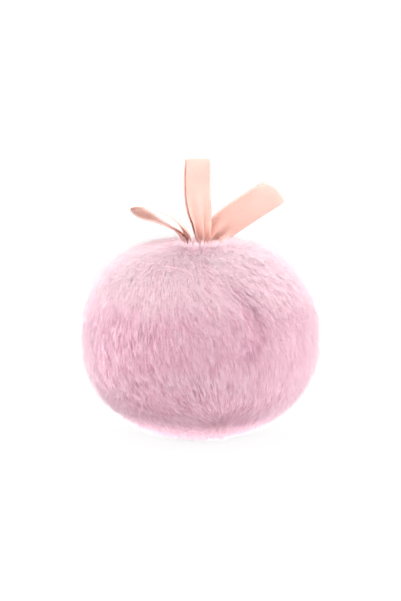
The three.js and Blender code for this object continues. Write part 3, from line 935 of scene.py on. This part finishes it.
def ball_outline(count):
    """Radius and height up the outside of the backing, and up its gathers to the open neck."""
    foot = math.acos((GATHER_REACH / BALL_WIDTH) ** (FULLNESS / 2))
    lat = np.linspace(-math.pi / 2, foot, count)
    power = 2 / FULLNESS
    r = BALL_WIDTH * np.abs(np.cos(lat)) ** power
    z = BALL_MIDDLE + BALL_HEIGHT * np.abs(np.sin(lat)) ** power * np.sign(lat)
    a = np.array([r[-1], z[-1]])
    b = np.array([NECK_OUTSIDE, z[-1] + 1])
    c = np.array([NECK_OUTSIDE, NECK_FOOT])
    t = np.linspace(0, 1, count // 3 + 1)[1:, None]
    gathers = (1 - t) ** 2 * a + 2 * t * (1 - t) * b + t**2 * c
    neck = np.stack([np.full(12, NECK_OUTSIDE), np.linspace(NECK_FOOT, NECK_TOP, 13)[1:]], 1)
    return np.concatenate([np.stack([r, z], 1), gathers, neck])


def inset(line, distance):
    """An outline moved in by a distance."""
    run = unit(np.gradient(line, axis=0))
    moved = line - np.stack([run[:, 1], -run[:, 0]], 1) * distance
    return np.stack([np.maximum(moved[:, 0], 0), moved[:, 1]], 1)


def around(line, angles, tuck=0):
    """Points of an outline turned round the axis, as deep as the ball further out."""
    r, z = line[:, :1], line[:, 1:]
    r = np.maximum(r - tuck, 0) * np.ones_like(angles)[None]
    share = 1 + (BALL_DEEP - 1) * smooth(MOUTH_RADIUS, GATHER_REACH, r)
    return np.stack([r * np.cos(angles), r * np.sin(angles) * share, z * np.ones_like(angles)], -1)


def closed_turn(name, rows, material):
    """A closed mesh from rows of points that start and end on the axis."""
    count, segments = rows.shape[:2]
    body = rows[1:-1].reshape(-1, 3)
    faces = [f[::-1] for f in grid_faces(count - 2, segments, wrap_columns=True)]
    first, last = len(body), len(body) + 1
    for j in range(segments):
        k = (j + 1) % segments
        faces.append((first, k, j))
        faces.append((last, (count - 3) * segments + j, (count - 3) * segments + k))
    return mesh_object(name, np.concatenate([body, rows[0, :1], rows[-1, :1]]), faces, material)


cloth = Material("backing_knit")
stitch = cloth.add("ShaderNodeTexVoronoi", feature="DISTANCE_TO_EDGE")
stitch.inputs["Scale"].default_value = 1400
cloth_place = cloth.add("ShaderNodeTexCoord")
cloth.join(cloth_place.outputs["Object"], stitch.inputs["Vector"])
knit = cloth.ramp(stitch.outputs["Distance"], [(0.0, 0.0), (0.25, 1.0)])
raised = cloth.ramp(cloth.noise(250, 3), [(0.3, "#eeb6ca"), (0.7, "#f6c9d8")])
cloth.principled(
    Base_Color=cloth.mix(knit, rgb("#dc9cb4"), raised),
    Roughness=cloth.ramp(cloth.noise(500), [(0.3, 0.75), (0.7, 0.95)]),
    Sheen_Weight=0.3,
    Sheen_Tint=rgb("#ffe6ef"),
    Normal=cloth.bump(knit, 0.0002),
)
line = ball_outline(OUTLINE_POINTS)
angles = np.linspace(0, 2 * math.pi, CLOTH_AROUND, endpoint=False)
drawn_in = (1 - smooth(NECK_OUTSIDE, GATHER_REACH, line[:, :1])) * (line[:, 1:] > BALL_MIDDLE)
pleats = 0.5 * (1 - np.cos(PLEATS * angles)) ** 0.8
pleats = pleats + 0.18 * (1 - np.cos(SMALL_PLEATS * angles + 1.0))
tuck = drawn_in * (pleats / pleats.max())[None]
outside = around(line, angles, tuck)
inside = around(inset(line, CLOTH), angles, tuck)[::-1]
backing = closed_turn("cover_cloth", np.concatenate([outside, inside]), cloth.material)
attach(backing, "puff")
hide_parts("cover_backing")

# The filling
fibre = Material("fibre_filling")
curls = fibre.noise(700, 5, (1, 1, 2.5))
fibre.principled(
    Base_Color=fibre.ramp(fibre.noise(90, 4), [(0.3, "#ece6dd"), (0.7, "#fbf8f3")]),
    Roughness=fibre.ramp(curls, [(0.3, 0.85), (0.7, 1.0)]),
    Sheen_Weight=0.3,
    Normal=fibre.bump(curls, 0.0006),
)
line = inset(ball_outline(OUTLINE_POINTS), FILLING_UNDER)
line = line[(line[:, 0] > GATHER_REACH) | (line[:, 1] < BALL_MIDDLE)]
t = np.linspace(0, 1, 16)[1:, None]
filled_to = NECK_TOP - TAIL - UNDER_TAILS
dome = (1 - t) ** 2 * line[-1] + 2 * t * (1 - t) * np.array([GATHER_REACH / 2, filled_to])
dome = dome + t**2 * np.array([0, filled_to])
line = np.concatenate([line, dome])
angles = np.linspace(0, 2 * math.pi, FILLING_AROUND, endpoint=False)
ball = around(line, angles)
lumps = soft_noise(ball.reshape(-1, 3), 7.0) + 0.5 * soft_noise(ball.reshape(-1, 3), 2.5, 4.0)
centre = np.array([0, 0, BALL_MIDDLE])
hollow = (0.6 + 0.5 * lumps).clip(0, 1.4).reshape(ball.shape[:2])[..., None]
hollow = hollow * smooth(0.2, 4, np.hypot(ball[..., 0], ball[..., 1]))[..., None]
ball = ball - unit(ball - centre) * hollow
filling = closed_turn("fibre_filling", ball, fibre.material)
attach(filling, "puff")
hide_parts("stuffing")

# The thread round the neck
THREAD, TURNS, PITCH = 0.8, 3, 1.3
THREAD_CLEAR = 0.3  # between the neck and the thread
PLY_RADIUS, PLY_OFF = THREAD * 0.25, THREAD * 0.24
TWIST_PITCH = 1.6
HELIX_POINTS = 1400
twine = Material("twisted_thread")
twine.principled(
    Base_Color=twine.ramp(twine.noise(2500, 3), [(0.3, "#e9bccb"), (0.7, "#f7d6e0")]),
    Roughness=twine.ramp(twine.noise(1800), [(0.3, 0.5), (0.7, 0.75)]),
    Sheen_Weight=0.3,
    Normal=twine.bump(twine.noise(6000, 2, (1, 1, 3)), 0.0001),
)
t = np.linspace(0, 1, HELIX_POINTS)
turn = 2 * math.pi * TURNS * t
helix_radius = NECK_OUTSIDE + THREAD_CLEAR + THREAD / 2
helix = np.stack([
    helix_radius * np.cos(turn), helix_radius * np.sin(turn),
    NECK_FOOT + THREAD_CLEAR + THREAD + PITCH * TURNS * t,
], 1)
ahead = unit(np.gradient(helix, axis=0))
out = np.stack([np.cos(turn), np.sin(turn), np.zeros(len(t))], 1)
beside = np.cross(ahead, out)
points, faces = [], []
for ply in range(2):
    twist = (turn * helix_radius / TWIST_PITCH * 2 * math.pi + ply * math.pi)[:, None]
    middle = helix + (out * np.cos(twist) + beside * np.sin(twist)) * PLY_OFF
    ply_points, ply_faces = tube(middle, np.full(len(t), PLY_RADIUS), out)
    faces += [tuple(v + len(ply_points) * ply for v in f) for f in ply_faces]
    points.append(ply_points)
thread = mesh_object("gather_stitching", np.concatenate(points), faces, twine.material)
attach(thread, "puff")
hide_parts("gather_thread")

# Floor and backdrop. Both look white to the camera, and light the puff less than that.
WHITE = (1, 1, 1, 1)
FLOOR_HALF = 3000
floor_nodes = Material("pale_floor")
floor_lit = floor_nodes.add("ShaderNodeBsdfPrincipled")
floor_lit.inputs["Base Color"].default_value = (0.9, 0.9, 0.9, 1)
floor_lit.inputs["Roughness"].default_value = 0.9
floor_white = floor_nodes.add("ShaderNodeEmission")
floor_white.inputs["Color"].default_value = WHITE
place = floor_nodes.add("ShaderNodeTexCoord")
away = floor_nodes.add("ShaderNodeVectorMath", operation="LENGTH")
floor_nodes.join(place.outputs["Object"], away.inputs[0])
whiter = floor_nodes.ramp(away.outputs["Value"], [(0.05, 0.92), (0.4, 1.0)])
share = floor_nodes.math("MULTIPLY", floor_nodes.seen_directly(), whiter)
floor_nodes.show(share, floor_lit.outputs[0], floor_white.outputs[0])
corners = np.array([[-1, -1, 0], [1, -1, 0], [1, 1, 0], [-1, 1, 0]]) * FLOOR_HALF
floor = mesh_object("floor", corners, [(0, 1, 2, 3)], floor_nodes.material, smooth_faces=False)

world = bpy.data.worlds.new("world")
world.use_nodes = True
bpy.context.scene.world = world
sky = Nodes(world.node_tree, "ShaderNodeOutputWorld")
ambient = sky.add("ShaderNodeBackground")
ambient.inputs["Color"].default_value = WHITE
sky_place = sky.add("ShaderNodeTexCoord")
sky_split = sky.add("ShaderNodeSeparateXYZ")
sky.join(sky_place.outputs["Generated"], sky_split.inputs[0])


def glow(source, low, high, least, most):
    """World strength that rises with a direction's share along one axis."""
    node = sky.add("ShaderNodeMapRange", interpolation_type="SMOOTHSTEP")
    for key, value in (("From Min", low), ("From Max", high), ("To Min", least), ("To Max", most)):
        node.inputs[key].default_value = value
    sky.join(source, node.inputs["Value"])
    return node.outputs[0]


from_sides = glow(sky.math("ABSOLUTE", sky_split.outputs[0]), 0.35, 0.95, 0.16, 0.78)
from_above = glow(sky_split.outputs[2], 0.2, 0.9, 0.0, 0.6)
from_behind = glow(sky_split.outputs[1], -0.1, 0.7, 0.0, 0.35)
strength = sky.math("ADD", sky.math("ADD", from_sides, from_above), from_behind)
sky.join(strength, ambient.inputs["Strength"])
white = sky.add("ShaderNodeBackground")
white.inputs["Color"].default_value = WHITE
sky.show(sky.seen_directly(), ambient.outputs[0], white.outputs[0])

# Lamps: name, place, size, power in watts and the point aimed at
LAMPS = [
    ("top", (-60, -160, 850), (700,), 4.4, (0, 0, 45)),
    ("front_top", (-100, -400, 790), (500,), 3.3, (0, 0, 75)),
    ("back", (150, 700, 500), (600,), 2.0, (0, 0, 45)),
    ("right_side", (650, 200, 300), (500,), 3.2, (0, 0, 45)),
    ("left_side", (-650, 200, 300), (500,), 2.8, (0, 0, 45)),
    ("front_strip", (0, -800, 30), (900, 50), 0.5, (0, 0, 20)),
]

# Low lamps reach under the belly, and their narrow beams, in degrees, stay off the ribbons.
LOW_LAMPS = [
    ("low_front", (0, -380, 7), (500, 5), 0.027, (0, 0, 3), 3.5),
    ("low_left", (-400, 60, 30), (250, 16), 0.055, (0, 0, 10), 24),
    ("low_right", (400, 60, 30), (250, 16), 0.042, (0, 0, 10), 24),
]


def softbox(name, place, size, power, aim, beam=180):
    """An area lamp: round with one size, or a rectangle with two."""
    data = bpy.data.lights.new(name, "AREA")
    data.shape = "RECTANGLE" if len(size) == 2 else "DISK"
    data.size = size[0] * MM
    data.size_y = size[-1] * MM
    data.energy = power
    data.spread = math.radians(beam)
    made = bpy.data.objects.new(name, data)
    bpy.context.scene.collection.objects.link(made)
    made.location = Vector(place) * MM
    made.rotation_euler = ((Vector(aim) - Vector(place)) * MM).to_track_quat("-Z", "Y").to_euler()


for lamp in LAMPS + LOW_LAMPS:
    softbox(*lamp)
